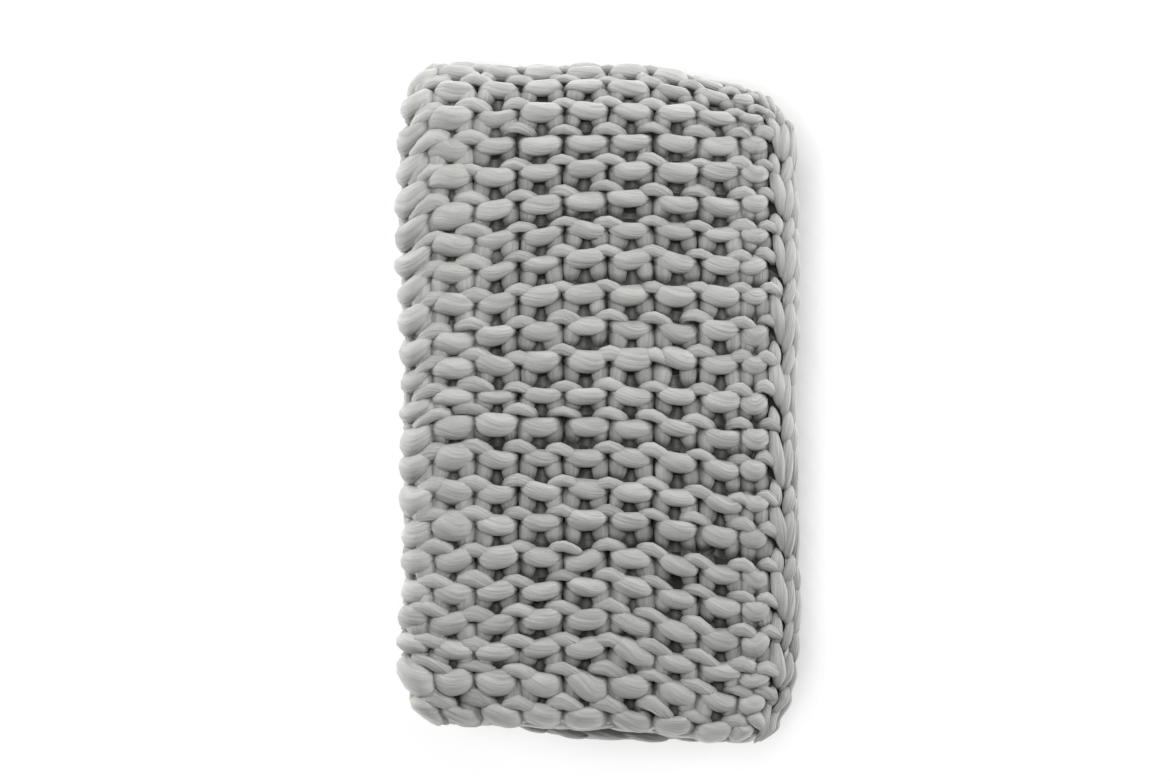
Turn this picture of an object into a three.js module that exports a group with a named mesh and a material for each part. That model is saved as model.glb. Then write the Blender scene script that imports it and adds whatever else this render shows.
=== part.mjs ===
// Chunky garter-stitch throw blanket, folded in thirds across its width and then in half along its length.
// It lies flat with the half fold at the far end (+Y) and its open ends at the near end (-Y).
// Millimetres, +Z up, origin at the middle of the folded outline, on the surface that it lies on.
import * as THREE from "three";

// Driving dimensions of the folded throw
const PILE_WIDTH = 430;
const PILE_LENGTH = 738;
const CLOTH_THICKNESS = 25;
const LAYER_GAP = 2;
const STITCH_PITCH = 47.8;
const RIDGE_PITCH = 33.5;
const STITCH_RELIEF = 10;
const FIRST_RIDGE = 8;
const FIRST_STITCH_GAP = 15.6;

// Where the fold lines and the knitted edges lie
const RIGHT_FOLD_INSET = 7;
const INNER_EDGE_INSET = 10;
const UPPER_END_INSET = 24;
const EDGE_CHAIN_WIDTH = 34;
const EDGE_CHAIN_LINK = 2 * RIDGE_PITCH;
const EDGE_CHAIN_DROP = 0.25;

// The upper open end is pressed thinner, and its top edge is rounded over this length
const END_ROUNDING = 36;
const END_THINNING = 0.3;

// Mesh density: points for each stitch, ridge, fold and half fold, and as shares of the lower run
const POINTS_PER_STITCH = 4;
const RIDGE_POINTS = [0.06, 0.33, 0.56, 0.78];
const LOWER_RUN_POINTS = [0.5, 0.9, 0.95, 1];
const FOLD_STEPS = 6;
const BEND_STEPS = 12;
const EDGE_STEPS = 4;
const GREY_YARN = 0xb4b4b1;

// Sizes that follow from the driving dimensions
const HALF_CLOTH = CLOTH_THICKNESS / 2;
const LAYER_PITCH = CLOTH_THICKNESS + LAYER_GAP;
const FOLD_RADIUS = LAYER_PITCH / 2;
const FOLD_OUTSIDE = FOLD_RADIUS + HALF_CLOTH;
const FOLD_YARN_RADIUS = FOLD_RADIUS + HALF_CLOTH / 2;
const FOLD_YARN_LENGTH = Math.PI * FOLD_YARN_RADIUS;
const INNER_BEND_RADIUS = LAYER_GAP / 2;
const STRIP_HEIGHT = 3 * CLOTH_THICKNESS + 2 * LAYER_GAP;
const BEND_RADIUS = INNER_BEND_RADIUS + STRIP_HEIGHT;
const BEND_LENGTH = Math.PI * BEND_RADIUS;
const BEND_CENTRE_Y = PILE_LENGTH / 2 - BEND_RADIUS;
const LOWER_RUN = BEND_CENTRE_Y + PILE_LENGTH / 2;
const UPPER_RUN = LOWER_RUN - UPPER_END_INSET;
const BEND_END = UPPER_RUN + BEND_LENGTH;
const PATH_LENGTH = BEND_END + LOWER_RUN;

// The three layers of the section, from the outer one to the one inside the half fold
const HALF_WIDTH = PILE_WIDTH / 2;
const LEFT_FOLD_X = FOLD_OUTSIDE - HALF_WIDTH;
const RIGHT_FOLD_X = HALF_WIDTH - RIGHT_FOLD_INSET - FOLD_OUTSIDE;
const INNER_EDGE_X = INNER_EDGE_INSET - HALF_WIDTH;
const INNER_LAYER = HALF_CLOTH;
const MIDDLE_LAYER = INNER_LAYER + LAYER_PITCH;
const OUTER_LAYER = MIDDLE_LAYER + LAYER_PITCH;
const OUTER_RUN = HALF_WIDTH - LEFT_FOLD_X;
const MIDDLE_RUN = RIGHT_FOLD_X - LEFT_FOLD_X;
const INNER_RUN = RIGHT_FOLD_X - INNER_EDGE_X;
const LEFT_FOLD_END = OUTER_RUN + FOLD_YARN_LENGTH;
const RIGHT_FOLD_START = LEFT_FOLD_END + MIDDLE_RUN;
const RIGHT_FOLD_END = RIGHT_FOLD_START + FOLD_YARN_LENGTH;
const CLOTH_WIDTH = RIGHT_FOLD_END + INNER_RUN;

// How the soft outline and the rows stray from a rectangle.
// along: distance from the upper open end, over the half fold. leftIn, rightIn: how far a side is drawn in.
// leftDrop, rightDrop: how far the rows sag at a side, towards the upper open end.
// foldDrop: how much further they sag on the left fold. lead: how far they move towards the half fold.
const OUTLINE = [
  { along: 0, leftIn: 36, rightIn: 42, leftDrop: -5, rightDrop: 15, foldDrop: 0, lead: -3 },
  { along: 28, leftIn: 15, rightIn: 24, leftDrop: -4, rightDrop: 17, foldDrop: -3, lead: -3 },
  { along: 60, leftIn: 6, rightIn: 10, leftDrop: -3, rightDrop: 24, foldDrop: -8, lead: 3 },
  { along: 95, leftIn: 3, rightIn: 4, leftDrop: 6, rightDrop: 30, foldDrop: -8, lead: 2 },
  { along: 165, leftIn: 8, rightIn: 2, leftDrop: 6, rightDrop: 22, foldDrop: 0, lead: 0 },
  { along: 250, leftIn: 7, rightIn: 4, leftDrop: 2, rightDrop: 17, foldDrop: 12, lead: 2 },
  { along: 330, leftIn: 6, rightIn: 6, leftDrop: 0, rightDrop: 12, foldDrop: 16, lead: 4 },
  { along: 365, leftIn: 6, rightIn: 7, leftDrop: 4, rightDrop: 7, foldDrop: 18, lead: 1 },
  { along: 430, leftIn: 7, rightIn: 4, leftDrop: 13, rightDrop: 4, foldDrop: 18, lead: 6 },
  { along: 500, leftIn: 4, rightIn: 3, leftDrop: 17, rightDrop: 8, foldDrop: 20, lead: 9 },
  { along: 560, leftIn: 2, rightIn: 5, leftDrop: 15, rightDrop: 7, foldDrop: 24, lead: 5 },
  { along: 640, leftIn: 2, rightIn: 9, leftDrop: 8, rightDrop: 4, foldDrop: 24, lead: 0 },
  { along: 700, leftIn: 8, rightIn: 26, leftDrop: 4, rightDrop: 2, foldDrop: 18, lead: 0 },
  { along: 760, leftIn: 22, rightIn: 50, leftDrop: 0, rightDrop: 0, foldDrop: 8, lead: 0 },
  { along: 830, leftIn: 10, rightIn: 30, leftDrop: 0, rightDrop: 0, foldDrop: 0, lead: 0 },
  { along: 890, leftIn: 0, rightIn: 0, leftDrop: 0, rightDrop: 0, foldDrop: 0, lead: 0 },
  { along: 1480, leftIn: 3, rightIn: 4, leftDrop: 6, rightDrop: 0, foldDrop: 0, lead: 0 },
  { along: PATH_LENGTH, leftIn: 40, rightIn: 34, leftDrop: 26, rightDrop: 0, foldDrop: 0, lead: 0 },
];

// Distances from the middle at which the rows' sag is full, and at which the left fold's own sag begins
const SAG_REACH = 170;
const FOLD_SAG_START = 165;

// The half fold is drawn back towards its right side, between these distances from the middle
const SLANT_DEPTH = 22;
const SLANT_START = 40;
const SLANT_END = 190;

// An S-shaped step from 0 at low to 1 at high.
function smoothStep(low, high, value) {
  return THREE.MathUtils.smoothstep(value, low, high);
}

// The row of OUTLINE at a distance along the path, eased between the two rows around it.
function outlineAt(along) {
  const next = OUTLINE.findIndex((row) => row.along >= along);
  const after = OUTLINE[Math.max(next, 1)];
  const before = OUTLINE[Math.max(next, 1) - 1];
  const share = smoothStep(before.along, after.along, along);
  const eased = (column) => THREE.MathUtils.lerp(before[column], after[column], share);
  return {
    leftIn: eased("leftIn"),
    rightIn: eased("rightIn"),
    leftDrop: eased("leftDrop"),
    rightDrop: eased("rightDrop"),
    foldDrop: eased("foldDrop"),
    lead: eased("lead"),
  };
}

// The back-and-forth section: a place on the cloth, by its distance from the outer layer's right edge and
// its offset from mid-thickness, as x across the pile and h above the inside of the half fold.
function sectionPoint(across, offset) {
  if (across <= OUTER_RUN) {
    return { x: HALF_WIDTH - across, h: OUTER_LAYER + offset };
  }
  if (across <= LEFT_FOLD_END) {
    const turn = (across - OUTER_RUN) / FOLD_YARN_RADIUS;
    const radius = FOLD_RADIUS + offset;
    return {
      x: LEFT_FOLD_X - radius * Math.sin(turn),
      h: MIDDLE_LAYER + FOLD_RADIUS + radius * Math.cos(turn),
    };
  }
  if (across <= RIGHT_FOLD_START) {
    return { x: LEFT_FOLD_X + across - LEFT_FOLD_END, h: MIDDLE_LAYER - offset };
  }
  if (across <= RIGHT_FOLD_END) {
    const turn = (across - RIGHT_FOLD_START) / FOLD_YARN_RADIUS;
    const radius = FOLD_RADIUS - offset;
    return {
      x: RIGHT_FOLD_X + radius * Math.sin(turn),
      h: INNER_LAYER + FOLD_RADIUS + radius * Math.cos(turn),
    };
  }
  return { x: RIGHT_FOLD_X - (across - RIGHT_FOLD_END), h: INNER_LAYER + offset };
}

// Carries a point of the section along the half fold: upper run, half circle, lower run.
function foldedPoint(across, offset, along) {
  const flat = sectionPoint(across, offset);
  const outline = outlineAt(along);
  const share = (flat.x / HALF_WIDTH) ** 2;
  const toLeft = flat.x < 0;
  const x = flat.x + share * (toLeft ? outline.leftIn : -outline.rightIn);
  const sag = smoothStep(0, SAG_REACH, Math.abs(flat.x)) * (toLeft ? outline.leftDrop : outline.rightDrop);
  const foldSag = smoothStep(FOLD_SAG_START, HALF_WIDTH, -flat.x) * outline.foldDrop;
  const place = along + outline.lead - sag - foldSag;
  const toEnd = THREE.MathUtils.clamp(1 - along / END_ROUNDING, 0, 1);
  const thinning = END_THINNING * (1 - Math.sqrt(1 - toEnd ** 2));
  const radius = INNER_BEND_RADIUS + flat.h * (1 - thinning);
  if (place <= UPPER_RUN) {
    return new THREE.Vector3(x, BEND_CENTRE_Y - UPPER_RUN + place, BEND_RADIUS + radius);
  }
  if (place <= BEND_END) {
    const turn = (place - UPPER_RUN) / BEND_RADIUS;
    const reach = (radius - SLANT_DEPTH * smoothStep(SLANT_START, SLANT_END, flat.x)) * Math.sin(turn);
    return new THREE.Vector3(x, BEND_CENTRE_Y + reach, BEND_RADIUS + radius * Math.cos(turn));
  }
  return new THREE.Vector3(x, BEND_CENTRE_Y - (place - BEND_END), BEND_RADIUS - radius);
}

// A round-topped bump: 1 at its middle, 0 from half its width away.
function bump(distance, width) {
  return Math.max(0, 1 - (2 * distance / width) ** 2);
}

// Height of the garter stitches, from 0 in a hollow to 1 on a crest. Each ridge is a row of long lower
// loops, with shorter upper loops over the gaps between them. The stitches' legs lie low between ridges.
function stitchHeight(across, along) {
  const column = (across - FIRST_STITCH_GAP) / STITCH_PITCH;
  const fromGap = Math.abs(column - Math.round(column));
  const ridge = THREE.MathUtils.euclideanModulo((along - FIRST_RIDGE) / RIDGE_PITCH, 1);
  const lowerLoop = bump(ridge - 0.36, 0.66) * (0.25 + 0.75 * smoothStep(0, 0.2, fromGap));
  const upperLoop = 0.82 * bump(ridge - 0.78, 0.5) * bump(fromGap, 0.95);
  const leg = 0.22 * bump(fromGap - 0.22, 0.36);
  return Math.max(lowerLoop, upperLoop, leg);
}

// Height of the chain along the knitted edge: one long link over every two ridges.
function edgeChainHeight(across, along) {
  const link = along / EDGE_CHAIN_LINK - Math.floor(along / EDGE_CHAIN_LINK);
  const crown = bump(across / EDGE_CHAIN_WIDTH - 0.45, 1.1);
  return crown * (1 - EDGE_CHAIN_DROP) * (0.72 + 0.28 * bump(link - 0.4, 0.9));
}

// How far the outer face lies below its crests. It is plain inside the pile, and where the pile rests.
function reliefDepth(across, along) {
  const height = across < EDGE_CHAIN_WIDTH ? edgeChainHeight(across, along) : stitchHeight(across, along);
  const bendFade = 1 - smoothStep(BEND_END - BEND_LENGTH / 4, BEND_END, along);
  const foldFade = 1 - smoothStep(LEFT_FOLD_END - FOLD_YARN_LENGTH / 2, LEFT_FOLD_END, across);
  return STITCH_RELIEF * (1 - height) * bendFade * foldFade;
}

// Distances along the path at which every face has points on the lower run.
function lowerStations() {
  return LOWER_RUN_POINTS.map((share) => BEND_END + share * LOWER_RUN);
}

// Distances along the path at which a face with stitches has points.
function stitchedStations() {
  const stations = [0];
  for (let start = FIRST_RIDGE; start + RIDGE_PITCH < BEND_END; start += RIDGE_PITCH) {
    RIDGE_POINTS.forEach((share) => stations.push(start + share * RIDGE_PITCH));
  }
  return [...stations, BEND_END, ...lowerStations()];
}

// Distances along the path at which a plain face has points.
function plainStations() {
  const stations = [0, END_ROUNDING / 4, END_ROUNDING / 2, END_ROUNDING];
  OUTLINE.filter((row) => row.along > 2 * END_ROUNDING && row.along < UPPER_RUN - END_ROUNDING)
    .forEach((row) => stations.push(row.along));
  for (let step = 0; step <= BEND_STEPS; step += 1) {
    stations.push(UPPER_RUN + (BEND_LENGTH * step) / BEND_STEPS);
  }
  return [...stations, ...lowerStations()];
}

// One line of points along the path, at a fixed place on the section's outline.
function plainLine(across, offset) {
  return plainStations().map((along) => ({ along, point: foldedPoint(across, offset, along) }));
}

// The same on the outer face, lowered by the hollows between its stitches.
function stitchedLine(across) {
  return stitchedStations().map((along) => ({
    along,
    point: foldedPoint(across, HALF_CLOTH - reliefDepth(across, along), along),
  }));
}

// Lines round a knitted edge, from one face to the other.
function edgeLines(edge, inward, fromFace) {
  const lines = [];
  for (let step = 1; step < EDGE_STEPS; step += 1) {
    const angle = (Math.PI * step) / EDGE_STEPS;
    const across = edge + inward * HALF_CLOTH * (1 - Math.sin(angle));
    lines.push(plainLine(across, fromFace * HALF_CLOTH * Math.cos(angle)));
  }
  return lines;
}

// Lines round a fold, at the given offset from mid-thickness.
function foldLines(start, offset) {
  const lines = [];
  for (let step = 0; step <= FOLD_STEPS; step += 1) {
    lines.push(plainLine(start + (FOLD_YARN_LENGTH * step) / FOLD_STEPS, offset));
  }
  return lines;
}

// All lines of the outer face, from the edge chain to the end of the left fold.
function stitchedLines() {
  const places = [HALF_CLOTH / 2, EDGE_CHAIN_WIDTH / 2, 0.8 * EDGE_CHAIN_WIDTH];
  const step = STITCH_PITCH / POINTS_PER_STITCH;
  for (let place = FIRST_STITCH_GAP + 2 * step; place < LEFT_FOLD_END - step / 2; place += step) {
    places.push(place);
  }
  return [...places, LEFT_FOLD_END].map(stitchedLine);
}

// The lines of the whole section's outline, once round the cloth.
function outlineLines() {
  return [
    ...stitchedLines(),
    ...foldLines(RIGHT_FOLD_START, HALF_CLOTH),
    plainLine(CLOTH_WIDTH - HALF_CLOTH, HALF_CLOTH),
    ...edgeLines(CLOTH_WIDTH, -1, 1),
    plainLine(CLOTH_WIDTH - HALF_CLOTH, -HALF_CLOTH),
    ...foldLines(RIGHT_FOLD_START, -HALF_CLOTH).reverse(),
    ...foldLines(OUTER_RUN, -HALF_CLOTH).reverse(),
    plainLine(HALF_CLOTH, -HALF_CLOTH),
    ...edgeLines(0, 1, -1),
  ];
}

// Triangles between two neighbouring lines, stepping along whichever has its next point nearer the start.
function stripBetween(first, second) {
  const triangles = [];
  let i = 0;
  let j = 0;
  while (i < first.length - 1 || j < second.length - 1) {
    const stepFirst = j === second.length - 1
      || (i < first.length - 1 && first[i + 1].along <= second[j + 1].along);
    if (stepFirst) {
      triangles.push(first[i].index, first[i + 1].index, second[j].index);
      i += 1;
    } else {
      triangles.push(first[i].index, second[j + 1].index, second[j].index);
      j += 1;
    }
  }
  return triangles;
}

// The folded throw as one closed surface: the strips between its lines, and a face over each open end.
function throwGeometry() {
  const lines = outlineLines();
  const points = [];
  lines.flat().forEach((station) => {
    station.index = points.length;
    points.push(station.point);
  });
  const faces = lines.flatMap((line, i) => stripBetween(line, lines[(i + 1) % lines.length]));
  [true, false].forEach((atUpperEnd) => {
    const ring = lines.map((line) => (atUpperEnd ? line[0] : line[line.length - 1]));
    const outline = ring.map(({ point }) => new THREE.Vector2(point.x, point.z));
    THREE.ShapeUtils.triangulateShape(outline, []).forEach(([a, b, c]) => {
      faces.push(ring[a].index, ring[b].index, ring[c].index);
    });
  });
  const geometry = new THREE.BufferGeometry().setFromPoints(points);
  geometry.setIndex(faces);
  return geometry;
}

// Puts the origin under the middle of the outline, on the surface that the pile lies on.
function standOnOrigin(geometry) {
  geometry.computeBoundingBox();
  const { min, max } = geometry.boundingBox;
  return geometry.translate(-(min.x + max.x) / 2, -(min.y + max.y) / 2, -min.z);
}

const throwMaterial = new THREE.MeshStandardMaterial({ color: GREY_YARN, roughness: 0.95, metalness: 0 });
const throwMesh = new THREE.Mesh(standOnOrigin(throwGeometry()), throwMaterial);
throwMesh.name = "throw";

const foldedThrow = new THREE.Group();
foldedThrow.add(throwMesh);

export default foldedThrow;
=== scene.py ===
"""Folded garter-stitch throw in jumbo yarn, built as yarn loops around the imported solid.

Every piece is worked out on the flat knitting first. A place on it is (across, along, lift): across runs
from the outer layer's right edge, round both folds, to the inner edge; along runs from the upper open end,
over the half fold, to the lower open end; lift is the height over the middle of the cloth's thickness.
fold_up() then carries the place to where the folded throw has it. All sizes are in metres.
"""

import math

import bpy
import numpy as np
from bpy.props import FloatProperty, FloatVectorProperty, IntProperty, PointerProperty
from bpy.types import Operator, Panel, PropertyGroup
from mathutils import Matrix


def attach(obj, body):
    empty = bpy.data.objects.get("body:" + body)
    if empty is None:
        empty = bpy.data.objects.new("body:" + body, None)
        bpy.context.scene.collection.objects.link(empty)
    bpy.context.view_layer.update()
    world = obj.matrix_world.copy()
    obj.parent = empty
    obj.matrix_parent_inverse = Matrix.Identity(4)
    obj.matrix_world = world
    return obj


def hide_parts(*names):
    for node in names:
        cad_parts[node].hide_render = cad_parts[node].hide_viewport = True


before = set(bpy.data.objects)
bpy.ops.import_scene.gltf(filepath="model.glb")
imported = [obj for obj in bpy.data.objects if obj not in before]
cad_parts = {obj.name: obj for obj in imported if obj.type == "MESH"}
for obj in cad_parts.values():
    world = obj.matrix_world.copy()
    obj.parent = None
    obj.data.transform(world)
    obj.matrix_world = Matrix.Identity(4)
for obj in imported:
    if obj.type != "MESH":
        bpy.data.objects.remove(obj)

bl_info = {
    "name": "Folded Knitted Throw",
    "version": (1, 0, 0),
    "blender": (4, 5, 0),
    "location": "3D Viewport > Sidebar > Throw",
    "description": "Knits a folded garter-stitch throw in jumbo yarn and sets a plain studio around it",
    "category": "Object",
}

NODE = "throw"
BODY = "root"
MM = 0.001

# Twist of the yarn in radians a metre, and the height of the lobes that follow it as a share of its radius.
TWIST = 26.0
LOBE_HEIGHT = 0.06
# The two kinds of lobe. count: lobes round the yarn. drift: radians a metre on top of the twist.
# weight: share of the lobe height.
LOBES = (
    (3, 9.0, 1.0),
    (2, -14.0, 0.7),
)
# A squared turn, under which two directions count as the same.
NO_TURN = 1e-18

# How the soft outline and the rows stray from a rectangle, in millimetres.
# along: distance from the upper open end. left_in, right_in: how far each side is drawn in.
# left_drop, right_drop: how far the rows sag at each side, towards the upper open end.
# fold_drop: how much further they sag on the left fold.
# lead: how far they are pushed towards the half fold.
OUTLINE_COLUMNS = ("along", "left_in", "right_in", "left_drop", "right_drop", "fold_drop", "lead")
OUTLINE = (
    (0, 36, 42, -5, 15, 0, -3),
    (28, 15, 24, -4, 17, -3, -3),
    (60, 6, 10, -3, 24, -8, 3),
    (95, 3, 4, 6, 30, -8, 2),
    (165, 8, 2, 6, 22, 0, 0),
    (250, 7, 4, 2, 17, 12, 2),
    (330, 6, 6, 0, 12, 16, 4),
    (365, 6, 7, 4, 7, 18, 1),
    (430, 7, 4, 13, 4, 18, 6),
    (500, 4, 3, 17, 8, 20, 9),
    (560, 2, 5, 15, 7, 24, 5),
    (640, 2, 9, 8, 4, 24, 0),
    (700, 8, 26, 4, 2, 18, 0),
    (760, 22, 50, 0, 0, 8, 0),
    (830, 10, 30, 0, 0, 0, 0),
    (890, 0, 0, 0, 0, 0, 0),
    (1480, 3, 4, 6, 0, 0, 0),
    (1544, 40, 34, 26, 0, 0, 0),
)

# Half of one stitch's loop, from the middle of the sinker to the crown of the head.
# side: distance from the loop's middle, in stitches.
# rise: along the wale from the row's middle, in ridges.
# knit_lift, purl_lift: towards the face that shows the head, in a knit or a purl row, and
# girth: thickness, all three as a share of the yarn's radius.
LOOP_COLUMNS = ("side", "rise", "knit_lift", "purl_lift", "girth")
HALF_LOOP = (
    (0.500, -0.470, -1.05, -0.76, 1.27),
    (0.372, -0.460, -1.03, -0.76, 1.25),
    (0.245, -0.425, -0.91, -0.72, 1.17),
    (0.194, -0.395, -0.43, -0.34, 1.04),
    (0.200, -0.330, 0.10, 0.38, 1.14),
    (0.205, -0.170, 0.10, 0.80, 1.24),
    (0.212, 0.020, -0.30, 0.85, 1.12),
    (0.232, 0.190, -0.20, 0.70, 0.86),
    (0.270, 0.300, 0.32, 0.70, 0.63),
    (0.182, 0.378, 0.82, 0.85, 0.72),
    (0.000, 0.415, 0.98, 0.95, 0.82),
)

# How far single stitches stray, before the unevenness setting: along the wale, in height, in thickness
# (a share), across, in slant, and how far a whole row strays along the wale. The draws keep this order.
STRAY_RISE = 1.3 * MM
STRAY_LIFT = 0.7 * MM
STRAY_GIRTH = 0.055
STRAY_SIDE = 1.2 * MM
STRAY_TILT = 0.8 * MM
STRAY_ROW = 0.9 * MM
# The share by which the slant of the stitches grows towards the upper open end.
TILT_GROWTH = 1.2

# Where a loop turns from sinker to head: the rise at which it begins, and the run over which it is done.
HEAD_START = 0.05
HEAD_RUN = 0.3
# The left fold begins to tell this far before it, as a share of the run over which it tells fully.
FOLD_LEAD = 0.6
FOLD_RUN = 0.02

# Where the stitches are tighter and their yarn fuller: towards the left side and the upper open end.
# FULL_TO: distances, across or along in metres, between which the fullness grows from 0 to 1.
# FULL_END_SHARE: how full the yarn is at the upper open end, against the left side.
# FULL_LOSS: the share of the left side's fullness that is lost past the left fold, over FULL_LEAVES metres.
# FULL_SINKER, FULL_FOLD, FULL_HEAD: the share by which full yarn is thicker, in the sinkers, in those on
# the left fold as well, and in the heads.
# FULL_WIDEN: the share by which full heads are wider. FULL_RAISE: how far they are pushed up the wale.
FULL_TO_LEFT = (0.315, 0.370)
FULL_TO_END = (0.21, 0.08)
FULL_END_SHARE = 0.55
FULL_LEAVES = 0.05
FULL_LOSS = 0.5
FULL_SINKER = 0.26
FULL_FOLD = 0.20
FULL_HEAD = 0.34
FULL_WIDEN = 0.22
FULL_RAISE = 0.0022

# Heads run out to the right, into the next sinker: how much further their right half reaches, how far it
# drops, both as a share of its distance from the head's middle, and the share of this that is everywhere,
# the rest being added towards the upper open end.
LEAN_REACH = 0.45
LEAN_DROP = 0.45
LEAN_SHARE = 0.65

# The lower arcs of the first row, past FOOT, are drawn up to this share of their length.
FIRST_ROW_FOOT = 0.024
FIRST_ROW_SHARE = 0.3

# Yarn that lies deep but has less of the painted hollow shade: the stubs between two legs, painted lighter
# in their middle than at their sides, the hollows on the left fold, and the last rows. CREST: how high it
# counts for
# its painted shade. STUB_WIDTH: half the stub, in stitches. END_CREST_REACH: distance from the lower open
# end over which the last rows' crest fades.
STUB_CREST = 0.44
STUB_WIDTH = 0.13
FOLD_CREST = 0.42
END_CREST = 0.9
END_CREST_REACH = 0.035

# The spindles of yarn that make one link of the chain along a knitted edge, in millimetres: the distances
# from the edge at the spindle's top and at its foot, its lift over mid-thickness, its lag along the link,
# its length and how thick it is.
LINK_SPINDLES = (
    (30.0, 20.5, 5.0, 0.0, 58.0, 16.0),
    (13.5, 16.0, 3.0, 8.0, 52.0, 14.5),
    (28.5, 26.0, 3.5, 37.0, 28.0, 14.5),
    (11.0, 18.0, 2.5, 43.0, 34.0, 13.0),
    (7.0, 7.5, -4.0, 18.0, 60.0, 13.5),
    (7.5, 8.0, -4.0, 52.0, 34.0, 13.0),
)

# The same for one link of the chain along the first and the last row, with the distances from that end.
FIRST_ROW_SPINDLES = (
    (17.0, 19.0, -3.0, 0.0, 56.0, 14.0),
)
LAST_ROW_SPINDLES = (
    (5.0, 9.0, 5.5, 0.0, 60.0, 17.5),
    (9.0, 5.0, -5.5, 8.0, 60.0, 17.5),
)

# A spindle's rings, the dip of its ends, the share of its thickness at its tips and the power of its swell.
SPINDLE_RINGS = 15
SPINDLE_DIP = 4.5 * MM
SPINDLE_TIP = 0.16
SPINDLE_SWELL = 0.6

# The chains. CREST: how high their yarn counts for its painted shade, here free of it. END_GAP: from the
# open ends to the first link.
# STRAY: how far a link's place, a spindle's size (a share) and a spindle's place stray.
# SHORTEST: the least share of its length to which an open end may cut a spindle.
# FIRST_LINK: stitches from a chain's start to its first link.
CHAIN_CREST = 1.0
CHAIN_END_GAP = 0.005
CHAIN_STRAY_LINK = 2.0 * MM
CHAIN_STRAY_SIZE = 0.07
CHAIN_STRAY_PLACE = 0.8 * MM
CHAIN_SHORTEST = 1 / 3
CHAIN_FIRST_LINK = 0.35
# Stitches of the outer layer at the upper open end; the layers below it end in a chain of their own.
OUTER_STITCHES = 9


def length_setting(name, description, default):
    """A setting in metres."""
    return FloatProperty(name=name, description=description, default=default, unit="LENGTH")


def share_setting(name, description, default, least=0.0, most=1.0):
    """A setting shown as a slider between two bounds."""
    return FloatProperty(name=name, description=description, default=default, subtype="FACTOR",
                         min=least, max=most)


class ThrowFold(PropertyGroup):
    """Sizes of the folded cloth, the same as the solid's."""

    width: length_setting("Pile width", "Across the folded pile", 0.430)
    length: length_setting("Pile length", "Along the folded pile", 0.738)
    thickness: length_setting("Cloth thickness", "One layer of knitting", 0.025)
    gap: length_setting("Layer gap", "Air between two layers", 0.002)
    right_fold_inset: length_setting("Right fold inset", "From the pile's right side", 0.007)
    inner_edge_inset: length_setting("Inner edge inset", "From the pile's left side", 0.010)
    upper_end_inset: length_setting("Upper end inset", "Upper open end, from the lower one", 0.024)
    sag_reach: length_setting("Sag reach", "From the middle to where the rows sag fully", 0.170)
    fold_sag_start: length_setting("Fold sag start", "From the middle to where the left fold sags", 0.165)
    slant_depth: length_setting("Slant depth", "How far the half fold is drawn back at its right", 0.022)
    slant_start: length_setting("Slant start", "From the middle to where the slant begins", 0.040)
    slant_end: length_setting("Slant end", "From the middle to where the slant is full", 0.190)
    end_rounding: length_setting("End rounding", "Length over which the upper end droops", 0.036)
    end_thinning: share_setting("End thinning", "Share of the height lost at the upper end", 0.30, most=0.9)


class ThrowKnit(PropertyGroup):
    """Gauge of the knitting and unevenness of its stitches."""

    stitch_pitch: length_setting("Stitch pitch", "Width of one stitch", 0.0478)
    ridge_pitch: length_setting("Ridge pitch", "Two rows of knitting", 0.0335)
    first_ridge: length_setting("First ridge", "From the upper open end", 0.0262)
    first_gap: length_setting("First stitch gap", "From the outer edge", 0.0156)
    edge_width: length_setting("Edge chain width", "Width that the chain covers", 0.038)
    yarn_radius: length_setting("Yarn radius", "Half the yarn's thickness", 0.0082)
    flatness: share_setting("Flatness", "How far the yarn is pressed flat in the cloth", 0.85, least=0.3)
    stitches: IntProperty(name="Stitches", description="Stitches in one row", default=26)
    ridges: IntProperty(name="Ridges", description="Ridges on one face", default=45)
    unevenness: share_setting("Unevenness", "How much the stitches differ", 1.35, most=3.0)
    seed: IntProperty(name="Seed", description="Start of the random draws", default=7)


class ThrowLook(PropertyGroup):
    """Colour and surface of the yarn."""

    pale: FloatVectorProperty(
        name="Pale fibre", description="Colour of the paler fibres",
        default=(0.450, 0.449, 0.436), subtype="COLOR", size=3)
    dark: FloatVectorProperty(
        name="Dark fibre", description="Colour of the darker fibres",
        default=(0.315, 0.314, 0.303), subtype="COLOR", size=3)
    roughness: share_setting("Roughness", "Mean roughness", 0.92)
    sheen: share_setting("Sheen", "Soft glow of the fibre ends", 0.25)
    # The painted hollow shade: the share of its colour that yarn keeps at crest 0, and the crest from which
    # it keeps all of it.
    painted_hollow_shade: share_setting("Hollows", "Brightness of the yarn deep between the loops", 0.12)
    full_height: share_setting("Full height", "Crest from which yarn has its full brightness", 0.90)
    bump: length_setting("Fibre height", "Depth of the fibre streaks", 0.0028)


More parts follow.
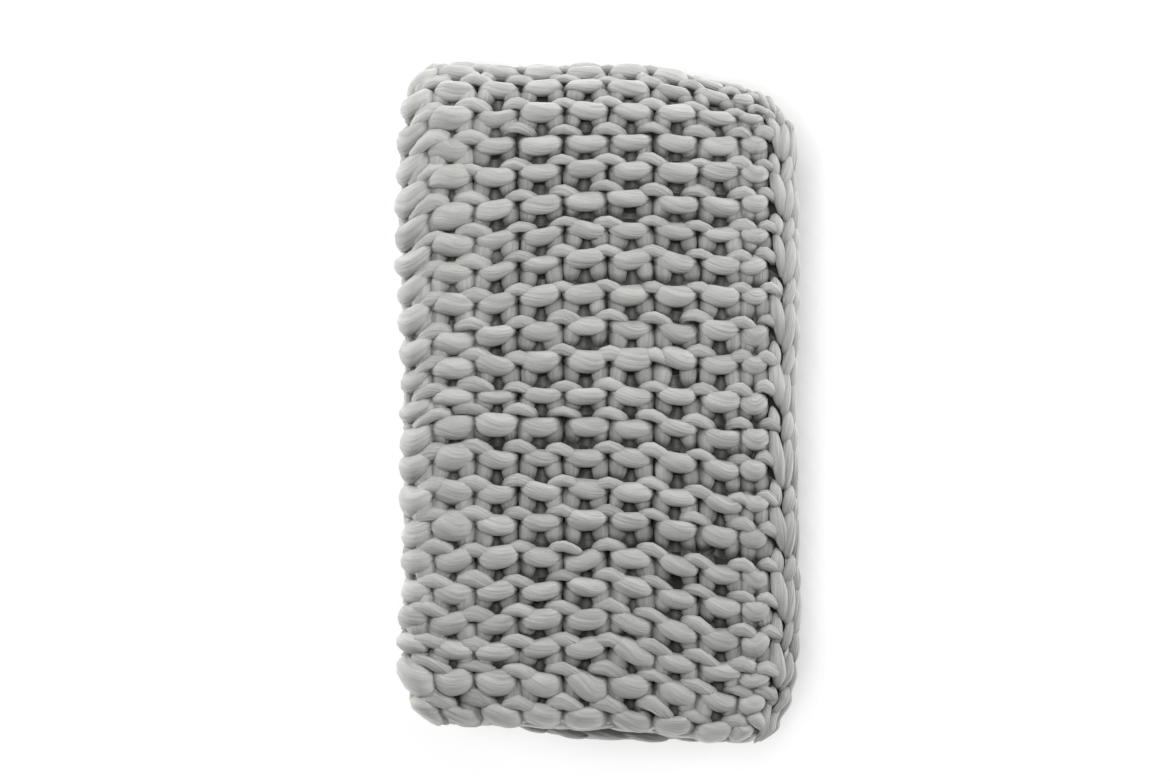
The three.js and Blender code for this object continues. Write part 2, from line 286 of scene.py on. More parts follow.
class ThrowStage(PropertyGroup):
    """Floor, lights and camera."""

    floor_size: length_setting("Floor size", "Side of the floor", 30.0)
    floor_glow: FloatProperty(
        name="Floor glow", description="Light of the floor itself near the pile, against hard shadows",
        default=0.90)
    # Glow of the floor that lights the pile, standing in for light bounced off it.
    floor_bounce_glow: FloatProperty(
        name="Floor bounce", description="Light that the floor gives the pile", default=1.8)
    # Painted shadow in the floor's glow at the pile's foot: how dark it gets and how far it reaches.
    shade: share_setting("Shade", "Share of its light that the floor keeps at the pile's foot", 0.35)
    shade_reach: length_setting("Shade reach", "How far the shade round the pile goes", 0.06)
    camera_height: length_setting("Camera height", "Over the pile's top", 1.70)
    camera_shift: FloatVectorProperty(
        name="Camera place", description="Off the pile's middle, x and y",
        default=(-0.0166, 0.0153), size=2, subtype="TRANSLATION")
    lens: FloatProperty(
        name="Lens", description="Focal length in millimetres on a 36 mm frame", default=50.0)
    over_power: FloatProperty(name="Over power", description="Soft light over the far half", default=9.0)
    right_power: FloatProperty(
        name="Right power", description="Large soft light from the right", default=64.0)
    left_power: FloatProperty(
        name="Left power", description="Large soft light from the left", default=56.0)
    back_power: FloatProperty(
        name="Back power", description="Large soft light from the far end", default=30.0)
    front_power: FloatProperty(
        name="Front power", description="Low soft light from the near end", default=6.5)
    sky: FloatProperty(name="Sky", description="Even light from all round", default=0.02)


class Folds:
    """Lengths that follow from the fold settings, worked out as for the solid."""

    def __init__(self, fold):
        self.sizes = fold
        self.half_cloth = fold.thickness / 2
        pitch = fold.thickness + fold.gap
        self.radius = pitch / 2
        self.yarn_radius = self.radius + self.half_cloth / 2
        self.yarn_length = math.pi * self.yarn_radius
        outside = self.radius + self.half_cloth
        self.bend_inside = fold.gap / 2
        self.bend_radius = self.bend_inside + 3 * fold.thickness + 2 * fold.gap
        self.bend_y = fold.length / 2 - self.bend_radius
        self.lower_run = self.bend_y + fold.length / 2
        self.upper_run = self.lower_run - fold.upper_end_inset
        self.bend_end = self.upper_run + math.pi * self.bend_radius
        self.path = self.bend_end + self.lower_run
        self.half_width = fold.width / 2
        self.left_x = outside - self.half_width
        self.right_x = self.half_width - fold.right_fold_inset - outside
        self.inner_layer = self.half_cloth
        self.middle_layer = self.inner_layer + pitch
        self.outer_layer = self.middle_layer + pitch
        self.outer_run = self.half_width - self.left_x
        self.left_end = self.outer_run + self.yarn_length
        self.right_start = self.left_end + self.right_x - self.left_x
        self.right_end = self.right_start + self.yarn_length
        self.cloth_width = self.right_end + self.right_x - (fold.inner_edge_inset - self.half_width)
        self.fold_sag_run = self.half_width - fold.fold_sag_start
        self.slant_run = fold.slant_end - fold.slant_start


def ease(value):
    """An S-shaped step: 0 below 0, 1 above 1, and 3v^2 - 2v^3 between them."""
    value = np.clip(value, 0.0, 1.0)
    return value * value * (3.0 - 2.0 * value)


def outline_column(name, along):
    """One column of OUTLINE at each distance along, eased between the two rows around it."""
    table = np.array(OUTLINE, float) * MM
    place = table[:, 0]
    column = table[:, OUTLINE_COLUMNS.index(name)]
    row = np.clip(np.searchsorted(place, along) - 1, 0, len(place) - 2)
    share = ease((along - place[row]) / (place[row + 1] - place[row]))
    return column[row] + (column[row + 1] - column[row]) * share


def section(folds, across, lift):
    """The back-and-forth section: x across the pile and h over the inside of the half fold.

    Each layer is a straight run at its own height. Each fold is a half turn about a point midway between
    two layers, on a radius that lift adds to outside the left fold and takes from outside the right one.
    """
    left_turn = (across - folds.outer_run) / folds.yarn_radius
    right_turn = (across - folds.right_start) / folds.yarn_radius
    left_radius = np.maximum(folds.radius + lift, 0.0)
    right_radius = np.maximum(folds.radius - lift, 0.0)
    runs = (across <= folds.outer_run, across <= folds.left_end, across <= folds.right_start,
            across <= folds.right_end)
    x = np.select(runs, (
        folds.half_width - across,
        folds.left_x - left_radius * np.sin(left_turn),
        folds.left_x + across - folds.left_end,
        folds.right_x + right_radius * np.sin(right_turn),
    ), folds.right_x - (across - folds.right_end))
    h = np.select(runs, (
        folds.outer_layer + lift,
        folds.middle_layer + folds.radius + left_radius * np.cos(left_turn),
        folds.middle_layer - lift,
        folds.inner_layer + folds.radius + right_radius * np.cos(right_turn),
    ), folds.inner_layer + lift)
    return x, h


def fold_up(folds, places):
    """Carries (across, along, lift) places to the folded throw.

    The section gives x and h. x is drawn in by the square of the distance from the middle, and along is
    moved by the rows' lead and by their sag, which eases in towards the sides and once more on the left
    fold. h thins towards the upper open end on a quarter ellipse. Then the section runs along the upper run,
    a half circle of radius h, which is drawn back towards its right side, and the lower run.
    """
    sizes = folds.sizes
    across, along, lift = places[..., 0], places[..., 1], places[..., 2]
    x, h = section(folds, across, lift)
    share = (x / folds.half_width) ** 2
    left = x < 0
    inward = np.where(left, outline_column("left_in", along), -outline_column("right_in", along))
    drop = np.where(left, outline_column("left_drop", along), outline_column("right_drop", along))
    place = along + outline_column("lead", along) - ease(np.abs(x) / sizes.sag_reach) * drop
    on_fold = ease((-x - sizes.fold_sag_start) / folds.fold_sag_run)
    place = place - on_fold * outline_column("fold_drop", along)
    slant = sizes.slant_depth * ease((x - sizes.slant_start) / folds.slant_run)
    x = x + share * inward
    to_end = np.clip(1.0 - along / sizes.end_rounding, 0.0, 1.0)
    radius = folds.bend_inside + h * (1.0 - sizes.end_thinning * (1.0 - np.sqrt(1.0 - to_end ** 2)))
    turn = np.clip((place - folds.upper_run) / folds.bend_radius, 0.0, math.pi)
    before = np.minimum(place - folds.upper_run, 0.0)
    after = np.maximum(place - folds.bend_end, 0.0)
    y = folds.bend_y + before - after + (radius - slant) * np.sin(turn)
    z = folds.bend_radius + radius * np.cos(turn)
    return np.stack((x, y, np.maximum(z, 0.0)), -1)


def loop_curve(count):
    """One stitch's loop at count even steps: a closed curve through HALF_LOOP and its mirror.

    Between two points it is the cubic whose slope at each is half the step from the point before it to the
    point after it. Returns the columns of HALF_LOOP, with side growing from -0.5 to 0.5 over the stitch.
    """
    half = np.array(HALF_LOOP, float)
    first = half * np.array((-1, 1, 1, 1, 1))
    points = np.concatenate((first, half[-2:0:-1]))
    knots = len(points)
    place = np.arange(count) / count * knots
    index = place.astype(int)
    t = (place - index)[:, None]

    def knot(offset):
        wrapped = points[(index + offset) % knots].copy()
        wrapped[:, 0] += (index + offset) // knots
        return wrapped

    before, here, after, beyond = knot(-1), knot(0), knot(1), knot(2)
    return 0.5 * (2 * here + (after - before) * t
                  + (2 * before - 5 * here + 4 * after - beyond) * t ** 2
                  + (3 * here - before - 3 * after + beyond) * t ** 3)


def stitch_across(folds, knit, stitch):
    """Distance across the cloth at a stitch number: even, but narrowed by the chains at both edges."""
    even = knit.first_gap + stitch * knit.stitch_pitch
    first = knit.edge_width + stitch * (knit.first_gap + knit.stitch_pitch - knit.edge_width)
    last_gap = knit.first_gap + (knit.stitches - 1) * knit.stitch_pitch
    last = last_gap + (stitch - knit.stitches + 1) * (folds.cloth_width - knit.edge_width - last_gap)
    return np.where(stitch < 1, first, np.where(stitch > knit.stitches - 1, last, even))


def row_noise(rng, knit, rows, spread):
    """One random value for each row and half stitch, kept for the whole throw so that pieces agree."""
    return rng.normal(0.0, spread * knit.unevenness, (rows, 2 * knit.stitches + 3))


def fullness(across, along):
    """How full the yarn is to the left and to the upper open end, each an S-shaped step from 0 to 1."""
    to_left = ease((across - FULL_TO_LEFT[0]) / (FULL_TO_LEFT[1] - FULL_TO_LEFT[0]))
    to_end = ease((along - FULL_TO_END[0]) / (FULL_TO_END[1] - FULL_TO_END[0]))
    return to_left, to_end


class Knitting:
    """The random unevenness of every stitch, drawn once from the seed, and the paths of the rows."""

    def __init__(self, folds, knit):
        self.folds = folds
        self.knit = knit
        rng = np.random.default_rng(knit.seed)
        rows = 2 * knit.ridges
        self.rise = row_noise(rng, knit, rows, STRAY_RISE)
        self.lift = row_noise(rng, knit, rows, STRAY_LIFT)
        self.girth = row_noise(rng, knit, rows, STRAY_GIRTH)
        self.side = row_noise(rng, knit, rows, STRAY_SIDE)
        self.tilt = row_noise(rng, knit, rows, STRAY_TILT)
        self.sway = rng.normal(0.0, STRAY_ROW * knit.unevenness, rows)

    def at(self, values, row, stitch):
        """The random values of a row at each stitch number, eased from one half stitch to the next."""
        place = 2 * stitch + 1
        index = np.clip(place.astype(int), 0, values.shape[1] - 2)
        share = ease(place - index)
        return values[row, index] * (1 - share) + values[row, index + 1] * share

    def path(self, row, first, last, per_stitch):
        """Middle line, radius and least crest of a row's yarn between two stitch numbers.

        Rows alternate: an even row shows its heads on the outer face, an odd row its sinkers, so the lift
        of an odd row is turned over. Two rows make one ridge. The loops then stray by the random values,
        swell where the yarn is full, and their heads lean to the right.
        """
        knit = self.knit
        curve = loop_curve(per_stitch)
        loops = np.arange(math.floor(first), math.ceil(last) + 1)
        stitch = (loops[:, None] + curve[None, :, 0]).ravel()
        face = 1.0 if row % 2 == 0 else -1.0
        columns = ("rise", "knit_lift" if row % 2 == 0 else "purl_lift", "girth")
        rise, lift, girth = (np.tile(curve[:, LOOP_COLUMNS.index(name)], len(loops)) for name in columns)
        phase = np.arange(len(stitch)) / per_stitch + loops[0] - 0.5
        kept = (phase >= first) & (phase <= last)
        stitch, rise, lift, girth, phase = (values[kept] for values in (stitch, rise, lift, girth, phase))
        middle = knit.first_ridge + (row / 2 - 0.25) * knit.ridge_pitch
        across = stitch_across(self.folds, knit, stitch) + self.at(self.side, row, phase)
        along = middle + rise * knit.ridge_pitch + self.at(self.rise, row, phase) + self.sway[row]
        if row == 0:
            past_foot = np.maximum(FIRST_ROW_FOOT - along, 0.0)
            along = FIRST_ROW_FOOT - FIRST_ROW_SHARE * past_foot + np.maximum(along - FIRST_ROW_FOOT, 0.0)
        to_left, to_end = fullness(across, along)
        outside = 1 - FULL_LOSS * ease((across - self.folds.left_end) / FULL_LEAVES)
        to_left = to_left * outside
        full = np.maximum(to_left, FULL_END_SHARE * to_end)
        headed = ease((rise - HEAD_START) / HEAD_RUN)
        on_fold = ease((across - self.folds.outer_run) / FOLD_RUN + FOLD_LEAD)
        from_middle = (stitch - np.round(stitch)) * knit.stitch_pitch
        across = across + from_middle * FULL_WIDEN * full * headed
        lean = np.maximum(-from_middle, 0.0) * (LEAN_SHARE + (1.0 - LEAN_SHARE) * to_end) * headed
        across = across - LEAN_REACH * lean
        along -= LEAN_DROP * lean
        along += self.at(self.tilt, row, phase) * (1 + TILT_GROWTH * to_end) * np.sin(4 * math.pi * phase)
        along += FULL_RAISE * full * headed
        height = face * lift * knit.yarn_radius + self.at(self.lift, row, phase)
        swollen_sinker = (FULL_SINKER * full + FULL_FOLD * on_fold * outside) * (1 - headed)
        swollen = 1 + swollen_sinker + FULL_HEAD * full * headed
        radius = knit.yarn_radius * girth * swollen * (1 + self.at(self.girth, row, phase))
        # Painted shade is lessened on the stubs, more in their middle than at their sides, on the left fold
        # and on the last rows.
        between = np.abs(stitch - np.floor(stitch) - 0.5) / STUB_WIDTH
        stub = STUB_CREST * ease(1 - between) * (face > 0) * (rise < 0)
        at_end = END_CREST * ease(1 - (self.folds.path - along) / END_CREST_REACH)
        least_crest = np.maximum.reduce((stub, FOLD_CREST * on_fold, at_end))
        return np.stack((across, along, height), -1), radius, least_crest


def tube(path, radius, least_crest, sides, flatness, start):
    """A closed tube round a path in flat knitting: points, fibre coordinates, crests, quads and end caps.

    The rings stand on frames carried along the path with the least turning (two reflections a step), and
    their height is pressed by flatness. A fibre coordinate is (cos, sin) of the angle round the yarn, which
    the twist turns along the yarn, and the distance along it, from start. Low lobes follow the twist, as
    roving has. least_crest, one value for each ring, is passed on to every point of the ring.
    """
    count = len(path)
    tangent = np.gradient(path, axis=0)
    tangent /= np.linalg.norm(tangent, axis=1, keepdims=True)
    normal = np.empty_like(path)
    upright = np.array((0.0, 0.0, 1.0)) - tangent[0] * tangent[0, 2]
    normal[0] = upright / np.linalg.norm(upright)
    for i in range(count - 1):
        step = path[i + 1] - path[i]
        length = step @ step
        mirrored = normal[i] - (2.0 / length) * (step @ normal[i]) * step
        mirrored_tangent = tangent[i] - (2.0 / length) * (step @ tangent[i]) * step
        turn = tangent[i + 1] - mirrored_tangent
        size = turn @ turn
        if size > NO_TURN:
            mirrored = mirrored - (2.0 / size) * (turn @ mirrored) * turn
        normal[i + 1] = mirrored
    binormal = np.cross(tangent, normal)
    angle = np.arange(sides) / sides * 2 * math.pi
    ring = (normal[:, None] * np.cos(angle)[None, :, None]
            + binormal[:, None] * np.sin(angle)[None, :, None])
    steps = np.linalg.norm(np.diff(path, axis=0), axis=1)
    travelled = start + np.concatenate(([0.0], np.cumsum(steps)))[:, None]
    turned = angle[None, :] + travelled * TWIST
    lobes = sum(weight * np.cos(lobe_count * turned + drift * travelled)
                for lobe_count, drift, weight in LOBES)
    swollen = radius[:, None] * (1.0 + LOBE_HEIGHT * lobes)
    points = path[:, None] + ring * swollen[..., None] * np.array((1.0, 1.0, flatness))
    fibre = np.stack((np.cos(turned), np.sin(turned), np.repeat(travelled, sides, 1)), -1)
    index = np.arange(count * sides).reshape(count, sides)
    after = np.roll(index, -1, axis=1)
    quads = np.stack((index[:-1], after[:-1], after[1:], index[1:]), -1).reshape(-1, 4)
    caps = np.stack((index[0, ::-1], index[-1]))
    return points.reshape(-1, 3), fibre.reshape(-1, 3), np.repeat(least_crest, sides), quads, caps


def mesh_from_tubes(name, folds, tubes, material):
    """One joined mesh object from tubes in flat knitting, folded up, with fibre coordinates and crests.

    A crest is the height over mid-thickness as a share of half the cloth's thickness, or the tube's least
    crest where that is larger. It sets how much painted hollow shade the yarn material puts on the colour.
    """
    points, fibres, crests, loops, sizes = [], [], [], [], []
    start = 0
    for place, fibre, least_crest, quads, caps in tubes:
        points.append(place)
        fibres.append(fibre)
        crests.append(np.maximum(np.abs(place[:, 2]) / folds.half_cloth, least_crest))
        loops += [(quads + start).ravel(), (caps + start).ravel()]
        sizes += [np.full(len(quads), 4), np.full(len(caps), caps.shape[1])]
        start += len(place)
    folded = fold_up(folds, np.concatenate(points))
    return mesh_object(name, folded, np.concatenate(loops), np.concatenate(sizes),
                       np.concatenate(fibres), np.concatenate(crests), material)


def mesh_object(name, points, loops, sizes, fibres, crests, material):
    """A smooth mesh object from whole arrays: points, face corners, face sizes, fibres and crests."""
    mesh = bpy.data.meshes.new(name)
    mesh.vertices.add(len(points))
    mesh.vertices.foreach_set("co", points.astype(np.float32).ravel())
    mesh.loops.add(len(loops))
    mesh.loops.foreach_set("vertex_index", loops.astype(np.int32))
    mesh.polygons.add(len(sizes))
    starts = np.concatenate(([0], np.cumsum(sizes)[:-1]))
    mesh.polygons.foreach_set("loop_start", starts.astype(np.int32))
    mesh.polygons.foreach_set("use_smooth", np.ones(len(sizes), bool))
    attribute = mesh.attributes.new("fibre", "FLOAT_VECTOR", "POINT")
    attribute.data.foreach_set("vector", fibres.astype(np.float32).ravel())
    attribute = mesh.attributes.new("crest", "FLOAT", "POINT")
    attribute.data.foreach_set("value", crests.astype(np.float32))
    mesh.update(calc_edges=True)
    if mesh.validate():
        raise RuntimeError(f"{name}: its mesh has bad faces")
    mesh.materials.append(material)
    piece = bpy.data.objects.new(name, mesh)
    bpy.context.scene.collection.objects.link(piece)
    return piece


def settle(piece):
    """Makes a yarn piece ride on the part."""
    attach(piece, BODY)


def set_inputs(node, values):
    """Sets the values of a shader node's inputs, by name or number."""
    for key, value in values.items():
        node.inputs[key].default_value = value


def add_node(tree, kind, place, inputs=None, **values):
    """Adds a shader node at a place in the editor and sets its plain properties and its inputs."""
    node = tree.nodes.new(kind)
    node.location = place
    for key, value in values.items():
        setattr(node, key, value)
    set_inputs(node, inputs or {})
    return node


# The streaks of fibre: a name, the noise's scale on the fibre coordinate, and its detail.
FIBRE_NOISES = (
    ("fine", (3.8, 3.8, 24.0), 4.0),
    ("broad", (1.3, 1.3, 10.0), 1.0),
    ("cloudy", (0.35, 0.35, 9.0), 1.0),
)
FIBRE_NOISE_ROUGHNESS = 0.6
# What the streaks make: an output, and the weights of the streaks in it.
FIBRE_OUTPUTS = (
    ("Tint", (("fine", 0.45), ("broad", 0.35), ("cloudy", 0.30))),
    ("Rough", (("fine", 0.6), ("cloudy", 0.4))),
    ("Height", (("fine", 0.7), ("broad", 0.6))),
)
# The tints between which the colour goes from dark to pale, and the change of roughness at either end.
TINT_RANGE = (0.42, 0.66)
ROUGH_RANGE = (-0.08, 0.06)
SHEEN_ROUGHNESS = 0.5
YARN_SPECULAR = 0.2
# Step from one row of nodes to the next in the editor.
NODE_STEP = 250


def fibre_group():
    """Shader node group: streaks of fibre along the yarn, as a tint, a roughness change and a height.

    The fibre coordinate puts the streaks on a cylinder, so they close round the yarn. Each streak is noise
    stretched along the yarn, and each output is a weighted sum of streaks.
    """
    name = "Yarn Fibres"
    if name in bpy.data.node_groups:
        return bpy.data.node_groups[name]
    tree = bpy.data.node_groups.new(name, "ShaderNodeTree")
    tree.interface.new_socket("Fibre", in_out="INPUT", socket_type="NodeSocketVector")
    for output, _ in FIBRE_OUTPUTS:
        tree.interface.new_socket(output, in_out="OUTPUT", socket_type="NodeSocketFloat")
    source = add_node(tree, "NodeGroupInput", (-900, 0))
    sink = add_node(tree, "NodeGroupOutput", (500, 0))
    noises = {}
    for row, (label, scale, detail) in enumerate(FIBRE_NOISES):
        stretch = add_node(tree, "ShaderNodeVectorMath", (-650, -NODE_STEP * row), {1: scale},
                           operation="MULTIPLY")
        noise = add_node(tree, "ShaderNodeTexNoise", (-400, -NODE_STEP * row),
                         {"Scale": 1.0, "Detail": detail, "Roughness": FIBRE_NOISE_ROUGHNESS})
        tree.links.new(source.outputs["Fibre"], stretch.inputs[0])
        tree.links.new(stretch.outputs["Vector"], noise.inputs["Vector"])
        noises[label] = noise.outputs["Fac"]
    for row, (output, parts) in enumerate(FIBRE_OUTPUTS):
        total = None
        for step, (label, weight) in enumerate(parts):
            scaled = add_node(tree, "ShaderNodeMath", (150 * step - 150, -NODE_STEP * row),
                              {1: weight, 2: 0.0}, operation="MULTIPLY_ADD")
            tree.links.new(noises[label], scaled.inputs[0])
            if total is not None:
                tree.links.new(total, scaled.inputs[2])
            total = scaled.outputs["Value"]
        tree.links.new(total, sink.inputs[output])
    return tree


def yarn_material(look):
    """Matte roving yarn: streaked grey, darkened by painted shade where its crest is low, with a soft sheen
    and fine relief.
    """
    name = "jumbo_yarn"
    if name in bpy.data.materials:
        return bpy.data.materials[name]
    material = bpy.data.materials.new(name)
    material.use_nodes = True
    tree = material.node_tree
    shader = tree.nodes["Principled BSDF"]
    fibre = add_node(tree, "ShaderNodeAttribute", (-900, 0), attribute_name="fibre")
    group = add_node(tree, "ShaderNodeGroup", (-700, 0), node_tree=fibre_group())
    tree.links.new(fibre.outputs["Vector"], group.inputs["Fibre"])
    ramp = add_node(tree, "ShaderNodeValToRGB", (-450, 200))
    for element, position, colour in zip(ramp.color_ramp.elements, TINT_RANGE, (look.dark, look.pale)):
        element.position = position
        element.color = (*colour, 1.0)
    tree.links.new(group.outputs["Tint"], ramp.inputs["Fac"])
    # Painted shade: the colour is scaled down where the crest is low, to the hollow share at crest 0.
    crest = add_node(tree, "ShaderNodeAttribute", (-900, 450), attribute_name="crest")
    painted_hollow_shade = add_node(tree, "ShaderNodeMapRange", (-450, 450),
                      {"From Max": look.full_height, "To Min": look.painted_hollow_shade})
    tree.links.new(crest.outputs["Fac"], painted_hollow_shade.inputs["Value"])
    shade = add_node(tree, "ShaderNodeVectorMath", (-150, 250), operation="SCALE")
    tree.links.new(ramp.outputs["Color"], shade.inputs[0])
    tree.links.new(painted_hollow_shade.outputs["Result"], shade.inputs["Scale"])
    tree.links.new(shade.outputs["Vector"], shader.inputs["Base Color"])
    rough = add_node(tree, "ShaderNodeMapRange", (-450, -50),
                     {"To Min": look.roughness + ROUGH_RANGE[0], "To Max": look.roughness + ROUGH_RANGE[1]})
    tree.links.new(group.outputs["Rough"], rough.inputs["Value"])
    tree.links.new(rough.outputs["Result"], shader.inputs["Roughness"])
    bump = add_node(tree, "ShaderNodeBump", (-250, -300), {"Distance": look.bump, "Strength": 1.0})
    tree.links.new(group.outputs["Height"], bump.inputs["Height"])
    tree.links.new(bump.outputs["Normal"], shader.inputs["Normal"])
    set_inputs(shader, {"Sheen Weight": look.sheen, "Sheen Roughness": SHEEN_ROUGHNESS,
                        "Specular IOR Level": YARN_SPECULAR})
    return material


def settings(scene):
    """What every piece of yarn needs: the knit settings, the folds' lengths and the material."""
    return scene.throw_knit, Folds(scene.throw_fold), yarn_material(scene.throw_look)


# Rings a stitch and points a ring, by how much of the yarn shows.
FINE = {"per_stitch": 28, "sides": 12}
MEDIUM = {"per_stitch": 18, "sides": 9}
HIDDEN = {"per_stitch": 8, "sides": 5}
# Rows at either open end whose hidden layers show, and the shift of the fibres from row to row.
END_ROWS = 4
ROW_SHIFT = 0.37

# The groups of rows, each one piece: its name, its first and last ridge, the stitches at which it starts and
# ends, counted from the outer edge, and its detail.
ROW_PIECES = (
    ("knit_top_near", 0, 9, -0.12, 10.4, FINE),
    ("knit_top_far", 10, 18, -0.12, 10.4, FINE),
    ("knit_half_fold", 19, 25, -0.12, 10.4, FINE),
    ("knit_underside", 26, 44, -0.12, 10.4, MEDIUM),
    ("knit_middle_layer", 0, 44, 10.4, 15.8, HIDDEN),
    ("knit_right_fold", 0, 44, 15.8, 19.8, MEDIUM),
    ("knit_inner_layer", 0, 44, 19.8, 24.4, HIDDEN),
    ("knit_inner_edge", 0, 44, 24.4, 25.86, MEDIUM),
)


class THROW_OT_knit_rows(Operator):
    """Knit all rows of yarn loops, as joined pieces of outer and inner rows"""

    bl_idname = "throw.knit_rows"
    bl_label = "Knit Rows"

    def execute(self, context):
        knit, folds, material = settings(context.scene)
        knitting = Knitting(folds, knit)
        for name, first, last, start, end, kind in ROW_PIECES:
            tubes = []
            for row in range(2 * first, 2 * last + 2):
                near_end = min(row, 2 * knit.ridges - 1 - row) < END_ROWS
                detail = MEDIUM if near_end and kind is HIDDEN else kind
                path, radius, least_crest = knitting.path(row, start, end, detail["per_stitch"])
                tubes.append(tube(path, radius, least_crest, detail["sides"], knit.flatness,
                                  row * ROW_SHIFT))
            settle(mesh_from_tubes(name, folds, tubes, material))
        return {"FINISHED"}


def spindle(top, foot, lift, middle, length, thick):
    """Path and radius of one spindle of yarn along an edge.

    It swells by a power of a sine between its tips, leans from top to foot by an S-shaped step, and its ends
    dip into the cloth by the square of the distance from its middle.
    """
    share = np.linspace(0.0, 1.0, SPINDLE_RINGS)
    along = middle + length * (0.5 - share)
    across = top + (foot - top) * ease(share)
    height = lift - SPINDLE_DIP * (2 * share - 1) ** 2
    swell = np.sin(math.pi * share) ** SPINDLE_SWELL
    radius = thick / 2 * (SPINDLE_TIP + (1 - SPINDLE_TIP) * swell)
    return np.stack((across, along, height), -1), radius


def spindle_tube(knit, path, radius, start):
    """The tube round one spindle, with the crest that all chains have, which keeps them free of painted
    shade.
    """
    return tube(path, radius, np.full(len(path), CHAIN_CREST), FINE["sides"], knit.flatness, start)


class THROW_OT_edge_chains(Operator):
    """Make the chains along the two knitted edges"""

    bl_idname = "throw.edge_chains"
    bl_label = "Make Edge Chains"

    def execute(self, context):
        knit, folds, material = settings(context.scene)
        rng = np.random.default_rng(knit.seed + 1)
        link = 2 * knit.ridge_pitch
        for name, inner in (("edge_chain_outer", False), ("edge_chain_inner", True)):
            tubes = []
            for middle in np.arange(link / 2, folds.path, link):
                middle += rng.normal(0.0, CHAIN_STRAY_LINK)
                for top, foot, lift, lag, length, thick in np.array(LINK_SPINDLES) * MM:
                    sizes = rng.normal(1.0, CHAIN_STRAY_SIZE, 2)
                    sway = rng.normal(0.0, CHAIN_STRAY_PLACE, 3)
                    reach = np.array((-0.5, 0.5)) * length * sizes[0] + middle - lag + sway[2]
                    first, last = np.clip(reach, CHAIN_END_GAP, folds.path - CHAIN_END_GAP)
                    if last - first < length * CHAIN_SHORTEST:
                        continue
                    path, radius = spindle(top + sway[0], foot + sway[1], lift, (first + last) / 2,
                                           last - first, thick * sizes[1])
                    if inner:
                        path[:, 0] = folds.cloth_width - path[:, 0]
                    tubes.append(spindle_tube(knit, path, radius, middle))
            settle(mesh_from_tubes(name, folds, tubes, material))
        return {"FINISHED"}


class THROW_OT_end_chains(Operator):
    """Make the chains of yarn along the first and last rows"""

    bl_idname = "throw.end_chains"
    bl_label = "Make End Chains"

    def execute(self, context):
        knit, folds, material = settings(context.scene)
        rng = np.random.default_rng(knit.seed + 2)
        for name, spindles, first, last, end, inward in (
            ("end_chain_upper", FIRST_ROW_SPINDLES, 0, OUTER_STITCHES, 0.0, 1.0),
            ("end_chain_inner", LAST_ROW_SPINDLES, OUTER_STITCHES, knit.stitches, 0.0, 1.0),
            ("end_chain_lower", LAST_ROW_SPINDLES, 0, knit.stitches, folds.path, -1.0),
        ):
            tubes = []
            links = np.arange(first + CHAIN_FIRST_LINK, last, 1.0)
            for middle in stitch_across(folds, knit, links):
                for top, foot, lift, lag, length, thick in np.array(spindles) * MM:
                    sway = rng.normal(0.0, CHAIN_STRAY_PLACE, 3)
                    path, radius = spindle(top + sway[0], foot + sway[1], lift, middle - lag + sway[2],
                                           length, thick * rng.normal(1.0, CHAIN_STRAY_SIZE))
                    path = path[:, [1, 0, 2]] * (1.0, inward, 1.0) + (0.0, end, 0.0)
                    tubes.append(spindle_tube(knit, path, radius, middle))
            settle(mesh_from_tubes(name, folds, tubes, material))
        return {"FINISHED"}


# The ground sheet: how far it ends from the edges and from the open ends, its height over mid-thickness, its
# points a side, and the scale of its fibres, turns a metre.
SHEET_EDGE_INSET = 0.018
SHEET_END_INSET = 0.026
SHEET_LIFT = -0.003
SHEET_STEPS = 150
SHEET_FIBRE = 40.0


class THROW_OT_ground(Operator):
    bl_idname = "throw.ground"
    bl_label = "Make Ground Sheet"

    def execute(self, context):
        scene = context.scene
        _, folds, material = settings(scene)
        across = np.linspace(SHEET_EDGE_INSET, folds.cloth_width - SHEET_EDGE_INSET, SHEET_STEPS)
        along = np.linspace(SHEET_END_INSET, folds.path - SHEET_END_INSET, SHEET_STEPS)
        grid = np.meshgrid(across, along)
        places = np.stack((*grid, np.full_like(grid[0], SHEET_LIFT)), -1).reshape(-1, 3)
        index = np.arange(SHEET_STEPS * SHEET_STEPS).reshape(SHEET_STEPS, SHEET_STEPS)
        corners = (index[:-1, :-1], index[:-1, 1:], index[1:, 1:], index[1:, :-1])
        quads = np.stack(corners, -1).reshape(-1, 4)
        fibres = places[:, [0, 1, 0]] * (SHEET_FIBRE, SHEET_FIBRE, 1.0)
        # Crests of zero give the sheet, which stands for the inner side of the knit, the darkest painted
        # hollow shade, so the gaps between the loops look dark.
        sheet = mesh_object("knit_ground", fold_up(folds, places), quads.ravel(), np.full(len(quads), 4),
                            fibres, np.zeros(len(places)), material)
        settle(sheet)
        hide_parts(NODE)
        return {"FINISHED"}


# Colour and finish of the floor, and how far it lies below the pile, so that the two never share a face.
FLOOR_COLOUR = (0.15, 0.15, 0.15, 1.0)
FLOOR_ROUGHNESS = 0.9
FLOOR_SPECULAR = 0.1
FLOOR_DROP = 0.0005
WHITE = (1.0, 1.0, 1.0, 1.0)
# Distances from the pile's middle between which the floor's own light grows to white.
GLOW_NEAR = 0.60
GLOW_FAR = 1.30
# The painted shadow at the pile's foot: where the light comes from that the pile seems to keep off the
# floor, and the share of open space at which that painted shadow is darkest.
SHADE_FROM = (-0.72, -0.30, 0.62)
SHADE_DARKEST = 0.3

# The square soft lights, all aimed at the pile: name, place and side. The settings have their powers.
LIGHTS = (
    ("over", (0.0, 0.45, 1.1), 1.0),
    ("right", (2.4, 0.6, 0.8), 1.6),
    ("left", (-2.4, 0.6, 0.8), 1.6),
    ("back", (0.2, 2.6, 0.7), 1.6),
    ("front", (0.1, -1.4, 0.3), 0.6),
)
SENSOR_WIDTH = 36.0


